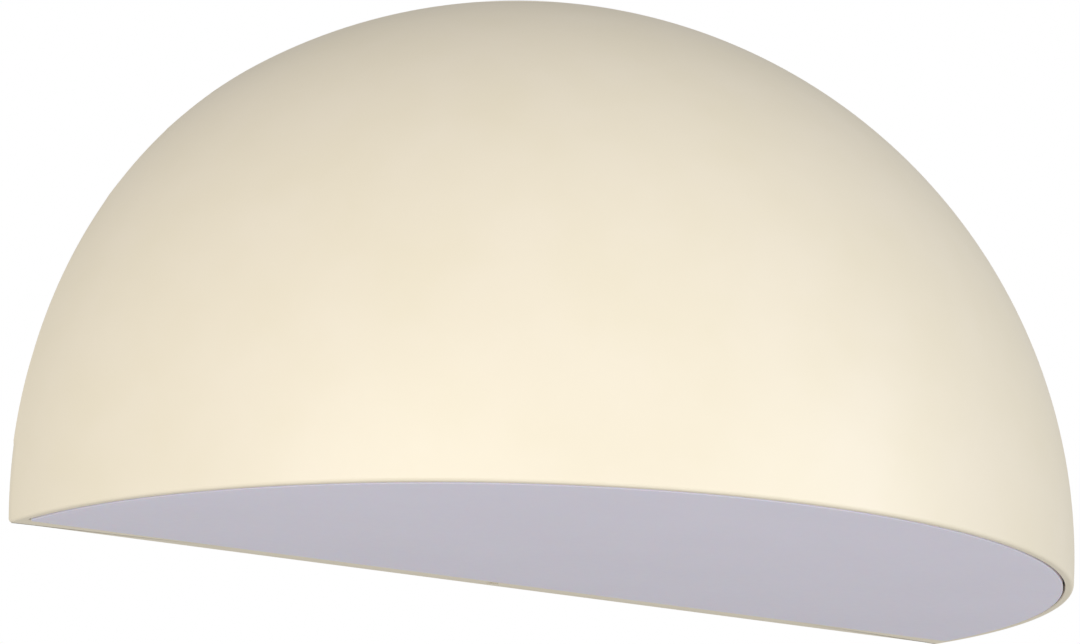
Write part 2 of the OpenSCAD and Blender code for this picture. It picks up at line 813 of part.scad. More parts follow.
// Leads from the terminal block to the driver's left end, side by side, side = 1 or -1
block_face = -block_out - block_d / 2;
block_lead_z = tray_top + pole_bore_z;
driver_end = driver_l / 2;
driver_back = driver_w / 2 - driver_out;
lead_bend = 3;
lead_in = 1;
lead_low = 8;
lead_dip = 4;
lead_rise = 2;
module mains_lead(pole, side) {
    shift = side * lead_step();
    x = pole_x(pole);
    row_y = (block_face + driver_back) / 2 - lead_in / 2 - shift;
    turn_x = shift - driver_end - 2 * lead_bend - lead_in;
    exit_y = shift - driver_out;
    lead([[x, block_face + lead_bend, block_lead_z], [x, block_face - lead_in / 2, block_lead_z],
        [x, row_y + lead_rise, block_lead_z + lead_in / 2],
        [x - lead_bend, row_y, block_lead_z + lead_rise],
        [x - 3 * lead_bend, row_y, lead_z - lead_bend],
        [turn_x + lead_bend, row_y, lead_z], [turn_x, row_y - lead_bend, lead_z],
        [turn_x, (row_y + exit_y) / 2, lead_z],
        [turn_x, exit_y + lead_bend, lead_z], [turn_x + lead_bend, exit_y, lead_z],
        [lead_in - driver_end, exit_y, lead_z]]);
}

module live_lead() {
    color("saddlebrown") from_rim() mains_lead(2, 1);
}

module neutral_lead() {
    color("royalblue") from_rim() mains_lead(1, -1);
}

module earth_lead() {
    x = pole_x(0);
    tag_z = tray_top + tag_t + lead_d / 2 + snug;
    color("yellowgreen") from_rim()
        lead([[x, block_face + lead_bend, block_lead_z], [x, block_face - lead_in, block_lead_z],
            [x, block_face - lead_bend, block_lead_z],
            [x - lead_bend, block_face - 1.5 * lead_bend, block_lead_z - lead_in],
            [x - 3 * lead_bend, block_face - 1.4 * lead_bend, tag_z + lead_d],
            [tag_x + tag_tail + lead_in, -tag_out, tag_z + lead_d / 5],
            [tag_x + tag_d / 2 + lead_in, -tag_out, tag_z]]);
}

// Leads from the driver's right end, down through the tray to the board's connector
module led_lead(side) {
    shift = side * lead_step();
    exit_y = shift - driver_out;
    turn_x = driver_end + 2 * lead_bend + lead_in - shift;
    row_y = driver_back + 2 * lead_bend + lead_in - shift;
    low_z = tray_top + lead_low;
    plug_z = board_bottom - connector_size.z / 2;
    plug_y = connector_front() + connector_size.y;
    lead([[driver_end - lead_in, exit_y, lead_z], [turn_x - lead_bend, exit_y, lead_z],
        [turn_x, exit_y + lead_bend, lead_z], [turn_x, (exit_y + row_y) / 2, lead_z],
        [turn_x, row_y - lead_bend, lead_z], [turn_x - lead_bend, row_y, lead_z],
        [driver_end / 2, row_y, lead_z - lead_bend],
        [lead_bend - shift, row_y, low_z], [-shift, row_y + lead_bend, low_z],
        [-shift, -wire_hole_out - lead_in, tray_top + lead_dip], [-shift, -wire_hole_out, tray_top],
        [-shift, -wire_hole_out, tray_z],
        [-shift, -wire_hole_out - lead_bend / 2, plug_z + lead_bend / 2],
        [-shift, (plug_y - wire_hole_out) / 2, plug_z], [-shift, plug_y - lead_rise, plug_z]]);
}

module led_plus_lead() {
    color("firebrick") from_rim() led_lead(1);
}

module led_minus_lead() {
    color("black") from_rim() led_lead(-1);
}

// Opal lens: a flat plate with four pegs that push into the tray's bushes
module lens() {
    color("#bfbbc6") from_rim() {
        translate([0, 0, -lens_proud]) linear_extrude(lens_t)
            d_shape(lens_r, lens_back, lens_corner);
        for (p = pegs) translate([p.x, p.y, lens_top - over]) {
            cylinder(d = peg_d, h = peg_top - lens_top + over);
            cylinder(d = peg_foot_d, h = peg_foot_h + over);
        }
    }
}

// Silicone ring on the lens, pressed under the ledge
module lens_seal() {
    color("lightgray") from_rim() translate([0, 0, lens_top]) linear_extrude(lens_seal_t)
        difference() {
            d_shape(lens_r - seal_inset, lens_back + seal_inset, seal_corner);
            d_shape(lens_r - seal_inset - lens_seal_w, lens_back + seal_inset + lens_seal_w,
                seal_corner);
        }
}

wall_bracket();
earth_stud();
earth_washer();
earth_nut();
dome_housing();
wall_seal();
lock_screw();
cable_grommet();
vent_plug();
vent_nut();
gear_tray();
tray_screws();
peg_bushes();
reflector();
thermal_pad();
led_board();
led_chips();
board_screws();
board_connector();
driver_base();
driver_lid();
driver_screws();
driver_board();
driver_transformer();
driver_capacitors();
terminal_block();
terminal_screws();
block_screws();
earth_tag();
earth_tag_screw();
live_lead();
neutral_lead();
earth_lead();
led_plus_lead();
led_minus_lead();
lens();
lens_seal();
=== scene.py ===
import math

import bmesh
import bpy
from mathutils import Matrix, Vector


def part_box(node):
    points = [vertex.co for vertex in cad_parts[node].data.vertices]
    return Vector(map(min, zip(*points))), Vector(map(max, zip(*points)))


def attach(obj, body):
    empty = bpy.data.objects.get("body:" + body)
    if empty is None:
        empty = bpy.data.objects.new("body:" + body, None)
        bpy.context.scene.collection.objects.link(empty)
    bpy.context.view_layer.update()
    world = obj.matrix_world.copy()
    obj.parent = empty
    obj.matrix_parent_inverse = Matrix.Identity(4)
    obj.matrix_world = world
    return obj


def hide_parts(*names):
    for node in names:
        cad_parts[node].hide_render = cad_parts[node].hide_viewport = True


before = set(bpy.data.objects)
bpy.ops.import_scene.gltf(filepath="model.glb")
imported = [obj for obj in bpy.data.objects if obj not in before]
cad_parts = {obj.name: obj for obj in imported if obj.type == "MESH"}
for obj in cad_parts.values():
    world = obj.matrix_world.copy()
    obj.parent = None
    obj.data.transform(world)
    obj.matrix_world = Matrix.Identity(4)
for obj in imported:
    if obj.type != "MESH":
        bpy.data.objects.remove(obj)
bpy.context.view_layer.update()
print("frame loaded:", len(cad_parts), "nodes")

# Everything is modelled in millimetres from the rim's plane, then brought to metres from the fixings
millimetre = 0.001
fixingHeight = 60        # wall fixings, above the rim's plane

# Limits for cleaning a shape, in millimetres and degrees
mergeDistance = 0.002    # vertices nearer than this become one
leastEdge = 0.001        # shorter edges are dropped, and a vertex this near the wall lies in it
cutMargin = 0.0001       # a vertex this near a cutting plane lies in it
flatAngle = 1            # facets that turn less than this become one face
creaseAngle = 35         # edges that turn more than this are shaded sharp
roundAngle = 40          # and more than this can be rounded

dome = {
    "radius": 125,
    "centreOut": 13,         # ball centre, in front of the wall
    "centreUp": 4.5,         # and above the rim
    "wall": 2.5,
    "rimRound": 0.9,
    "aroundSteps": 300,      # facets round the dome's upright axis
    "arcSteps": 80,          # and from its top to the rim
    "roundSteps": 7,
    "cornerSteps": 12,
    "hollowSteps": 180,
    "backRound": 0.5,
    "backSteps": 3,
    "pocketReach": 123.02,   # the lens pocket's arc, from the axis
    "pocketBack": 5.3,       # and its straight side, from the wall
    "pocketCorner": 2,
    "pocketDepth": 4.4,
    "pocketMouth": 2,        # how far below the rim its cutter starts
    "lipRound": 0.25,
    "lipSteps": 4,
    "openingReach": 119.2,   # the opening above the lens
    "openingBack": 14,
    "openingCorner": 6,
    "openingCut": (2, 8),
    "ledgeTop": 6.9,
    "webFront": 12,          # front face of the back wall
    "recessReach": 118.5,    # the hollow behind the back wall
    "recessDepth": 10,
    "stripWall": 3.3,        # the strip behind the lens
    "stripThick": 2.5,
    "sealSeat": 2,
    "sealFoot": 9.5,
    "bossRadius": 4.5,
    "bossFoot": 24,
    "bossRing": 111,         # from the axis to the bosses that run up into the dome
    "bossAngles": (-62, 0, 62),
    "webBosses": ((-70, -22.5), (70, -22.5)),
    "webBossHeight": 20,
    "armWidth": 6,           # what joins a boss to the back wall
    "screwHole": 2.06,
    "screwDepth": 12,
    "lugSides": (-45, 45),
    "lugWidth": 16,
    "lugFoot": 93.35,
    "lugRoof": 100.35,
    "lugTop": 103.35,
    "lugBack": 2.5,
    "lugThick": 2,
    "lugJoin": 1.5,          # how far a lug runs up into its roof
    "lockOut": 3.1,
    "lockHole": 1.31,
    "lockDepth": 9,
    "lockBlockWidth": 8,
    "lockBlockHeights": (1, 7.5),
    "lockBlockBack": 0.5,
    "lockBlockInset": 0.01,  # its front is this much inside the strip
    "grommetHole": (0, 60, 7),
    "ventHole": (70, 70, 4.06),
    "over": 1,               # how far a cutter, a boss or a lug runs past a face
}

ballCentre = Vector((0, -dome["centreOut"], dome["centreUp"]))
upward = Vector((0, 0, 1))
wallward = Vector((0, 1, 0))


# Brings a shape to metres, and gives it its finish, its body and the nodes that it replaces
def newPiece(bm, name, material, body, nodes):
    bmesh.ops.recalc_face_normals(bm, faces=bm.faces)
    bmesh.ops.translate(bm, verts=bm.verts, vec=-fixingHeight * upward)
    bmesh.ops.scale(bm, verts=bm.verts, vec=[millimetre] * 3)
    mesh = bpy.data.meshes.new(name)
    bm.to_mesh(mesh)
    bm.free()
    mesh.shade_smooth()
    mesh.set_sharp_from_angle(angle=math.radians(creaseAngle))
    mesh.materials.append(material)
    piece = bpy.data.objects.new(name, mesh)
    bpy.context.scene.collection.objects.link(piece)
    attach(piece, body)
    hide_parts(*nodes)
    print("made", name, len(mesh.polygons), "faces")


# An arc of edges swept from one vertex
def sweepVertex(bm, vertex, centre, axis, degrees, steps):
    swept = bmesh.ops.spin(bm, geom=[vertex], cent=centre, axis=axis, angle=math.radians(degrees),
                           steps=steps, use_merge=False, use_duplicate=False)["geom_last"]
    return next(v for v in swept if isinstance(v, bmesh.types.BMVert))


# Edges turned once round an axis
def turnEdges(bm, geometry, centre, axis, steps):
    bmesh.ops.spin(bm, geom=geometry, cent=centre, axis=axis, angle=2 * math.pi, steps=steps,
                   use_merge=True, use_duplicate=False)
    bmesh.ops.remove_doubles(bm, verts=bm.verts, dist=mergeDistance)
    bmesh.ops.dissolve_degenerate(bm, edges=bm.edges, dist=leastEdge)


# Cuts a closed shape with a plane, keeps the side that the normal points to and closes the cut
def keepSide(bm, point, normal):
    cut = bmesh.ops.bisect_plane(bm, geom=bm.verts[:] + bm.edges[:] + bm.faces[:], dist=cutMargin,
                                 plane_co=point, plane_no=normal, clear_inner=True)["geom_cut"]
    bmesh.ops.contextual_create(bm, geom=[g for g in cut if isinstance(g, bmesh.types.BMEdge)])


# One ball of radius 1 that every hollow starts from
plainBall = bmesh.new()
bmesh.ops.create_uvsphere(plainBall, u_segments=dome["hollowSteps"], v_segments=dome["hollowSteps"] // 2,
                          radius=1)


# A ball round the dome's centre
def ballShape(radius):
    bm = plainBall.copy()
    bmesh.ops.scale(bm, verts=bm.verts, vec=[radius] * 3)
    bmesh.ops.translate(bm, verts=bm.verts, vec=ballCentre)
    return bm


# Flat D: a long arc round the dome's axis, two round corners and a straight back
def outlineEdges(bm, reach, back, corner, height):
    before = set(bm.edges)
    centre = Vector((0, -dome["centreOut"], height))
    rise = dome["centreOut"] - back - corner
    side = math.sqrt((reach - corner) ** 2 - rise ** 2)
    turn = math.degrees(math.atan2(rise, side))
    rightCentre = centre + Vector((side, rise, 0))
    leftCentre = centre + Vector((-side, rise, 0))
    start = bm.verts.new(rightCentre + corner * wallward)
    last = sweepVertex(bm, start, rightCentre, upward, turn - 90, dome["cornerSteps"])
    last = sweepVertex(bm, last, centre, upward, -180 - 2 * turn, dome["aroundSteps"] // 2)
    last = sweepVertex(bm, last, leftCentre, upward, turn - 90, dome["cornerSteps"])
    bm.edges.new((last, start))
    return [e for e in bm.edges if e not in before]


# D outlines on top of each other, each with its own inset and height, joined into one closed solid
def outlineStack(bm, reach, back, corner, rows):
    loops = [outlineEdges(bm, reach - inset, back + inset, corner - inset, height)
             for inset, height in rows]
    for lower, upper in zip(loops, loops[1:]):
        bmesh.ops.bridge_loops(bm, edges=lower + upper)
    for loop in (loops[0], loops[-1]):
        bmesh.ops.contextual_create(bm, geom=loop)


# Insets and heights down a quarter round edge, from the flat face to the side
def roundRows(radius, height, direction, steps):
    angles = [math.pi / 2 * k / steps for k in range(steps + 1)]
    return [(radius * (1 - math.sin(a)), height + direction * radius * (1 - math.cos(a)))
            for a in angles]


# Rounds every edge that turns more than roundAngle
def roundEdges(bm, offset, segments=2):
    edges = [e for e in bm.edges
             if len(e.link_faces) == 2 and e.calc_face_angle() > math.radians(roundAngle)]
    bmesh.ops.bevel(bm, geom=edges, offset=offset, affect="EDGES", segments=segments, profile=0.5,
                    clamp_overlap=True, material=-1)


def addRod(bm, foot, axis, radius, length, steps=40):
    turn = Vector(axis).to_track_quat("Z", "Y").to_matrix().to_4x4()
    place = Matrix.Translation(Vector(foot) + Vector(axis) * length / 2) @ turn
    bmesh.ops.create_cone(bm, cap_ends=True, segments=steps, radius1=radius, radius2=radius,
                          depth=length, matrix=place)


# The shape with another one taken away or added, or only what both share
def carved(bm, tool, operation="DIFFERENCE"):
    parts = []
    for shape in (bm, tool):
        bmesh.ops.recalc_face_normals(shape, faces=shape.faces)
        mesh = bpy.data.meshes.new("carving")
        shape.to_mesh(mesh)
        shape.free()
        parts.append(bpy.data.objects.new("carving", mesh))
        bpy.context.scene.collection.objects.link(parts[-1])
    modifier = parts[0].modifiers.new("carve", "BOOLEAN")
    modifier.operation = operation
    modifier.solver = "MANIFOLD"
    modifier.object = parts[1]
    result = bmesh.new()
    result.from_object(parts[0], bpy.context.evaluated_depsgraph_get())
    for part in parts:
        bpy.data.objects.remove(part)
    return result


# The shape with a block added, from one corner to the opposite one
def withBlock(bm, low, high):
    low, high = Vector(low), Vector(high)
    block = bmesh.new()
    bmesh.ops.create_cube(block, size=1, matrix=Matrix.Translation((low + high) / 2)
                          @ Matrix.Diagonal(high - low).to_4x4())
    return carved(bm, block, "UNION")


# sRGB hex to the linear values that a shader takes
def linearColour(hexColour):
    channels = [int(hexColour[i:i + 2], 16) / 255 for i in (1, 3, 5)]
    return [c / 12.92 if c <= 0.04045 else ((c + 0.055) / 1.055) ** 2.4 for c in channels] + [1.0]


def linkInputs(tree, node, links):
    for name, source in links.items():
        tree.links.new(source, node.inputs[name])


def addNode(tree, kind, settings=None, links=None):
    node = tree.nodes.new("ShaderNode" + kind)
    for name, value in (settings or {}).items():
        if isinstance(name, int) or name in node.inputs:
            node.inputs[name].default_value = value
        else:
            setattr(node, name, value)
    linkInputs(tree, node, links or {})
    return node


# A finish starts with its shader's own values and the object's coordinates
def newFinish(name, **values):
    material = bpy.data.materials.new(name)
    material.use_nodes = True
    tree = material.node_tree
    shader = tree.nodes["Principled BSDF"]
    for socket, value in values.items():
        shader.inputs[socket.replace("_", " ")].default_value = value
    place = addNode(tree, "TexCoord").outputs["Object"]
    return material, tree, shader, place


# Features of a pattern per metre, from their real size in millimetres
def perMetre(sizeInMillimetres):
    return 1 / (sizeInMillimetres * millimetre)


grainLook = {
    "detail": 3,
    "cloudSize": 12,         # grains across a patch of one tone
    "cloudDetail": 2,
    "noiseSpan": (0.3, 0.7),    # noise between these is spread over the whole range
}


# Noise of a size drives the colour between two tones, the roughness between two values and a bump
def grainFinish(name, dark, light, size, rough, depth, stretch=(1, 1, 1), **values):
    material, tree, shader, place = newFinish(name, **values)
    span = dict(zip(("From Min", "From Max"), grainLook["noiseSpan"]))
    spread = addNode(tree, "Mapping", {"Scale": stretch}, {"Vector": place}).outputs["Vector"]
    noise = addNode(tree, "TexNoise", {"Scale": perMetre(size), "Detail": grainLook["detail"]},
                    {"Vector": spread}).outputs["Fac"]
    clouds = addNode(tree, "TexNoise", {"Scale": perMetre(size * grainLook["cloudSize"]),
                                        "Detail": grainLook["cloudDetail"]},
                     {"Vector": spread}).outputs["Fac"]
    cloud = addNode(tree, "MapRange", span, {"Value": clouds}).outputs["Result"]
    tone = addNode(tree, "Mix", {"data_type": "RGBA", 6: linearColour(dark), 7: linearColour(light)},
                   {0: cloud}).outputs[2]
    gloss = addNode(tree, "MapRange", {**span, "To Min": rough[0], "To Max": rough[1]},
                    {"Value": noise}).outputs["Result"]
    bump = addNode(tree, "Bump", {"Strength": 1.0, "Distance": depth * millimetre},
                   {"Height": noise}).outputs["Normal"]
    linkInputs(tree, shader, {"Base Color": tone, "Roughness": gloss, "Normal": bump})
    return material


# Powder coat cures with a fine orange peel, a soft sheen and no grain of its own
creamPowderCoat = grainFinish("creamPowderCoat", "#EDE2CA", "#EFE4CE", 1.6, (0.42, 0.48), 0.006, IOR=1.5)

# Opal acrylic is milky right through, with a satin face from the mould
opalAcrylic = grainFinish("opalAcrylic", "#E2DDEC", "#E4DFEE", 2.5, (0.34, 0.40), 0.003,
                          IOR=1.49, Subsurface_Weight=0.15, Subsurface_Scale=0.002)

# EPDM rubber, moulded: dull, nearly black, with a trace of bloom
blackRubber = grainFinish("blackRubber", "#1B1B1C", "#272728", 0.8, (0.72, 0.86), 0.02, IOR=1.52)

# Nylon moulded in a sparked tool: even, dull grain
darkNylon = grainFinish("darkNylon", "#242527", "#2C2D2F", 0.5, (0.5, 0.6), 0.015, IOR=1.53)

# Polycarbonate driver case, moulded, fine sparked texture
whitePolycarbonate = grainFinish("whitePolycarbonate", "#E6E6E2", "#EDEDEA", 0.7, (0.42, 0.52), 0.012,
                                 IOR=1.58)

# Foamed white PET sheet: very matt, so that it scatters the light
whiteReflector = grainFinish("whiteReflector", "#F0F0EE", "#F6F6F4", 0.4, (0.8, 0.9), 0.01, IOR=1.5)

# Polyamide of the terminal block: slightly yellow, waxy
creamPolyamide = grainFinish("creamPolyamide", "#E2DDCB", "#EAE6D8", 0.9, (0.38, 0.5), 0.012,
                             IOR=1.53, Subsurface_Weight=0.1, Subsurface_Scale=0.001)

# Silicone cord: translucent, soft shine
siliconeCord = grainFinish("siliconeCord", "#C9C8C4", "#D6D5D1", 1.2, (0.4, 0.5), 0.008,
                           IOR=1.41, Subsurface_Weight=0.25, Subsurface_Scale=0.002)

# Silicone pad filled with ceramic powder: chalky blue-grey
thermalSilicone = grainFinish("thermalSilicone", "#7F93A8", "#8FA1B4", 0.6, (0.7, 0.8), 0.02, IOR=1.43)

# Rolled sheet with the mill's fine lines along X
millAluminium = grainFinish("millAluminium", "#B9BCBE", "#C8CBCD", 0.5, (0.3, 0.42), 0.004,
                            stretch=(0.06, 1, 1), Metallic=1.0)

# Machine screws, cold headed: bright with faint turning marks
stainlessSteel = grainFinish("stainlessSteel", "#A9ABAC", "#BFC1C2", 0.3, (0.24, 0.34), 0.003,
                             stretch=(1, 1, 0.2), Metallic=1.0)

# Turned brass, a little tarnished
turnedBrass = grainFinish("turnedBrass", "#B08D45", "#C9A65A", 0.3, (0.26, 0.4), 0.004,
                          stretch=(1, 0.2, 1), Metallic=1.0)

zincLook = {
    "spangle": 9,
    "frost": 1.2,            # the fine pattern on a spangle
    "frostDetail": 4,
    "frostShare": 0.3,
    "frostDepth": 0.01,
    "rough": (0.34, 0.52),
    "tones": ("#A4A8AB", "#C3C7C9"),
}


# Hot-dip zinc freezes in spangles, each with its own shade and gloss
def galvanisedSteel():
    material, tree, shader, place = newFinish("galvanisedSteel", Metallic=1.0)
    dark, light = map(linearColour, zincLook["tones"])
    cells = addNode(tree, "TexVoronoi", {"Scale": perMetre(zincLook["spangle"])}, {"Vector": place})
    shade = addNode(tree, "SeparateColor", None, {"Color": cells.outputs["Color"]}).outputs["Red"]
    frost = addNode(tree, "TexNoise", {"Scale": perMetre(zincLook["frost"]),
                                       "Detail": zincLook["frostDetail"]},
                    {"Vector": place}).outputs["Fac"]
    blend = addNode(tree, "Mix", {0: zincLook["frostShare"]}, {2: shade, 3: frost}).outputs[0]
    tone = addNode(tree, "Mix", {"data_type": "RGBA", 6: dark, 7: light}, {0: blend}).outputs[2]
    gloss = addNode(tree, "MapRange", {"To Min": zincLook["rough"][0], "To Max": zincLook["rough"][1]},
                    {"Value": blend}).outputs["Result"]
    bump = addNode(tree, "Bump", {"Strength": 1.0, "Distance": zincLook["frostDepth"] * millimetre},
                   {"Height": frost}).outputs["Normal"]
    linkInputs(tree, shader, {"Base Color": tone, "Roughness": gloss, "Normal": bump})
    return material


foamLook = {
    "cell": 1.1,
    "pitDepth": 0.15,
    # the darker tone is painted shade at the bottom of each pit
    "tones": ("#3B3D40", "#55575A"),
}


# Closed-cell foam: open cells only where it was cut, so small pits all over, each pit darkened towards
# its middle with painted shade
def cutFoam():
    material, tree, shader, place = newFinish("cutFoam", IOR=1.5, Roughness=0.9)
    dark, light = map(linearColour, foamLook["tones"])
    cells = addNode(tree, "TexVoronoi", {"Scale": perMetre(foamLook["cell"]), "feature": "F1"},
                    {"Vector": place}).outputs["Distance"]
    # Darker towards each cell's middle: painted shade in the pits
    tone = addNode(tree, "Mix", {"data_type": "RGBA", 6: dark, 7: light}, {0: cells}).outputs[2]
    bump = addNode(tree, "Bump", {"Strength": 1.0, "Distance": foamLook["pitDepth"] * millimetre,
                                  "invert": True}, {"Height": cells}).outputs["Normal"]
    linkInputs(tree, shader, {"Base Color": tone, "Normal": bump})
    return material


trackLook = {
    "width": 0.4,
    "length": 14,
    "spacing": 5,
    "height": 0.03,
}


# Solder mask over copper: the tracks stand up a little and show in another tone through it
def solderMask(name, field, track, gloss):
    material, tree, shader, place = newFinish(name, IOR=1.55, Roughness=gloss)
    field, track = linearColour(field), linearColour(track)
    width, length, spacing, height = (trackLook[k] * millimetre
                                      for k in ("width", "length", "spacing", "height"))
    bricks = addNode(tree, "TexBrick", {"Scale": 1.0, "Mortar Size": width, "Brick Width": length,
                                        "Row Height": spacing, "Color1": field, "Color2": field,
                                        "Mortar": track}, {"Vector": place})
    bump = addNode(tree, "Bump", {"Strength": 1.0, "Distance": height},
                   {"Height": bricks.outputs["Fac"]}).outputs["Normal"]
    linkInputs(tree, shader, {"Base Color": bricks.outputs["Color"], "Normal": bump})
    return material


chipLook = {
    "grid": {"X": 24, "Y": 22},
    "rowOut": 40,            # one row of chips, in front of the wall
    "window": 1.15,
    "windowEdge": 1.08,      # where the yellow has faded out, in window radii
    "package": "#F1F1EC",
    "phosphor": "#E9C23C",
}


# White packages with a round window of yellow phosphor in the middle of each, on the board's grid
def phosphorWindows():
    material, tree, shader, place = newFinish("phosphorWindows", IOR=1.5, Roughness=0.25)
    half = {axis: step / 2 * millimetre for axis, step in chipLook["grid"].items()}
    shifted = addNode(tree, "Mapping", {"Location": (half["X"], chipLook["rowOut"] * millimetre, 0)},
                      {"Vector": place}).outputs["Vector"]
    axes = addNode(tree, "SeparateXYZ", None, {"Vector": shifted})
    offsets = {axis: addNode(tree, "Math", {"operation": "WRAP", 1: half[axis], 2: -half[axis]},
                             {0: axes.outputs[axis]}).outputs[0] for axis in half}
    flat = addNode(tree, "CombineXYZ", None, offsets).outputs["Vector"]
    away = addNode(tree, "VectorMath", {"operation": "LENGTH"}, {0: flat}).outputs["Value"]
    inside = addNode(tree, "MapRange",
                     {"From Min": chipLook["window"] * chipLook["windowEdge"] * millimetre,
                      "From Max": chipLook["window"] * millimetre}, {"Value": away}).outputs["Result"]
    tone = addNode(tree, "Mix", {"data_type": "RGBA", 6: linearColour(chipLook["package"]),
                                 7: linearColour(chipLook["phosphor"])}, {0: inside}).outputs[2]
    linkInputs(tree, shader, {"Base Color": tone})
    return material


# Radians of a wave texture at scale 1, for a metre of z or of x + y + z together
waveRadians = {"Z": 20, "DIAGONAL": 10}

tapeLook = {
    "radian": 3.2,           # millimetres for a radian, so an edge every 20
    "waver": 0.4,
    "edgeHeight": 0.05,
    "tones": ("#B8892F", "#E0B64A"),
}


# Wide polyester tape wound round the coil, paler towards its edge
def coilTape():
    material, tree, shader, place = newFinish("coilTape", IOR=1.6, Roughness=0.35)
    dark, light = map(linearColour, tapeLook["tones"])
    bands = addNode(tree, "TexWave", {"bands_direction": "Z", "wave_profile": "SAW",
                                      "Scale": perMetre(tapeLook["radian"]) / waveRadians["Z"],
                                      "Distortion": tapeLook["waver"]}, {"Vector": place}).outputs["Fac"]
    tone = addNode(tree, "Mix", {"data_type": "RGBA", 6: dark, 7: light}, {0: bands}).outputs[2]
    bump = addNode(tree, "Bump", {"Strength": 1.0, "Distance": tapeLook["edgeHeight"] * millimetre},
                   {"Height": bands}).outputs["Normal"]
    linkInputs(tree, shader, {"Base Color": tone, "Normal": bump})
    return material


sleeveLook = {
    "canShown": 0.4,         # what shows of the can, below its top
    "mottle": 2,
    "tones": ("#243A63", "#2D4678"),
    "can": "#B9BBBD",
}


# Shrunk PVC sleeve, aluminium can showing at the top
def capacitorSleeve(canTop):
    material, tree, shader, place = newFinish("capacitorSleeve", IOR=1.53, Roughness=0.3)
    dark, light = map(linearColour, sleeveLook["tones"])
    height = addNode(tree, "SeparateXYZ", None, {"Vector": place}).outputs["Z"]
    top = addNode(tree, "Math", {"operation": "GREATER_THAN",
                                 1: canTop - sleeveLook["canShown"] * millimetre},
                  {0: height}).outputs[0]
    mottle = addNode(tree, "TexNoise", {"Scale": perMetre(sleeveLook["mottle"]), "Detail": 2},
                     {"Vector": place}).outputs["Fac"]
    sleeve = addNode(tree, "Mix", {"data_type": "RGBA", 6: dark, 7: light}, {0: mottle}).outputs[2]
    tone = addNode(tree, "Mix", {"data_type": "RGBA", 7: linearColour(sleeveLook["can"])},
                   {0: top, 6: sleeve}).outputs[2]
    linkInputs(tree, shader, {"Base Color": tone, "Metallic": top})
    return material


wireLook = {
    "wave": 1.5,
    "rough": (0.28, 0.45),
    "stripeRadian": 5.2,     # millimetres of x + y + z for a radian of the stripe
    "toneEdge": (0.45, 0.55),
}


# PVC insulation, extruded: a soft gloss with a slight waviness along it
def wireInsulation(name, main, second, striped=False):
    material, tree, shader, place = newFinish(name, IOR=1.54)
    wave = addNode(tree, "TexNoise", {"Scale": perMetre(wireLook["wave"]), "Detail": 2},
                   {"Vector": place}).outputs["Fac"]
    gloss = addNode(tree, "MapRange", {"To Min": wireLook["rough"][0], "To Max": wireLook["rough"][1]},
                    {"Value": wave}).outputs["Result"]
    pattern = wave
    if striped:
        scale = perMetre(wireLook["stripeRadian"]) / waveRadians["DIAGONAL"]
        pattern = addNode(tree, "TexWave", {"bands_direction": "DIAGONAL", "Scale": scale},
                          {"Vector": place}).outputs["Fac"]
    edge = dict(zip(("From Min", "From Max"), wireLook["toneEdge"]))
    cut = addNode(tree, "MapRange", edge, {"Value": pattern}).outputs["Result"]
    tone = addNode(tree, "Mix", {"data_type": "RGBA", 6: linearColour(main), 7: linearColour(second)},
                   {0: cut}).outputs[2]
    linkInputs(tree, shader, {"Base Color": tone, "Roughness": gloss})
    return material


# Where the bosses stand that run up into the dome
ringPlaces = [(dome["bossRing"] * math.sin(math.radians(angle)),
               -dome["centreOut"] - dome["bossRing"] * math.cos(math.radians(angle)))
              for angle in dome["bossAngles"]]


# A quarter ball with a rounded rim and a flat back
def solidDome():
    bm = bmesh.new()
    radius, rimRound = dome["radius"], dome["rimRound"]
    dip = math.degrees(math.asin((dome["centreUp"] - rimRound) / (radius - rimRound)))
    start = bm.verts.new(ballCentre + radius * upward)
    edge = sweepVertex(bm, start, ballCentre, wallward, 90 + dip, dome["arcSteps"])
    roundCentre = ballCentre + (edge.co - ballCentre) * (1 - rimRound / radius)
    foot = sweepVertex(bm, edge, roundCentre, wallward, 90 - dip, dome["roundSteps"])
    bm.edges.new((foot, bm.verts.new((0, -dome["centreOut"], foot.co.z))))
    turnEdges(bm, bm.verts[:] + bm.edges[:], ballCentre, upward, dome["aroundSteps"])
    keepSide(bm, (0, 0, 0), -wallward)
    backEdges = [e for e in bm.edges if all(abs(v.co.y) < leastEdge for v in e.verts)]
    bmesh.ops.bevel(bm, geom=backEdges, offset=dome["backRound"], affect="EDGES",
                    segments=dome["backSteps"], profile=0.5, material=-1)
    print("dome solid:", len(bm.faces), "faces")
    return bm


# The pocket for the lens, its mouth rounded into the lip, and the opening above it
def cutPocket(bm):
    lip = dome["lipRound"]
    rows = [(-lip, -dome["pocketMouth"])]
    rows += [(-inset, height) for inset, height in roundRows(lip, 0, 1, dome["lipSteps"])]
    rows += [(0, dome["pocketDepth"])]
    pocket = bmesh.new()
    outlineStack(pocket, dome["pocketReach"], dome["pocketBack"], dome["pocketCorner"], rows)
    opening = bmesh.new()
    outlineStack(opening, dome["openingReach"], dome["openingBack"], dome["openingCorner"],
                 [(0, height) for height in dome["openingCut"]])
    return carved(carved(bm, pocket), opening)


# Each hollow is a smaller ball, cut level at its foot and upright in front or behind
def hollowDome(bm):
    inside, recess = dome["radius"] - dome["wall"], dome["recessReach"]
    hollows = (
        (inside, dome["ledgeTop"], dome["webFront"], -wallward),    # the chamber
        (recess, dome["ledgeTop"], dome["recessDepth"], wallward),  # behind the back wall
        (recess, dome["stripThick"], dome["stripWall"], wallward),  # behind the strip
        (inside, dome["sealFoot"], dome["sealSeat"], wallward),     # the wall seal's seat
    )
    for reach, foot, depth, side in hollows:
        hollow = ballShape(reach)
        keepSide(hollow, (0, 0, foot), upward)
        keepSide(hollow, (0, -depth, 0), side)
        bm = carved(bm, hollow)
    return bm


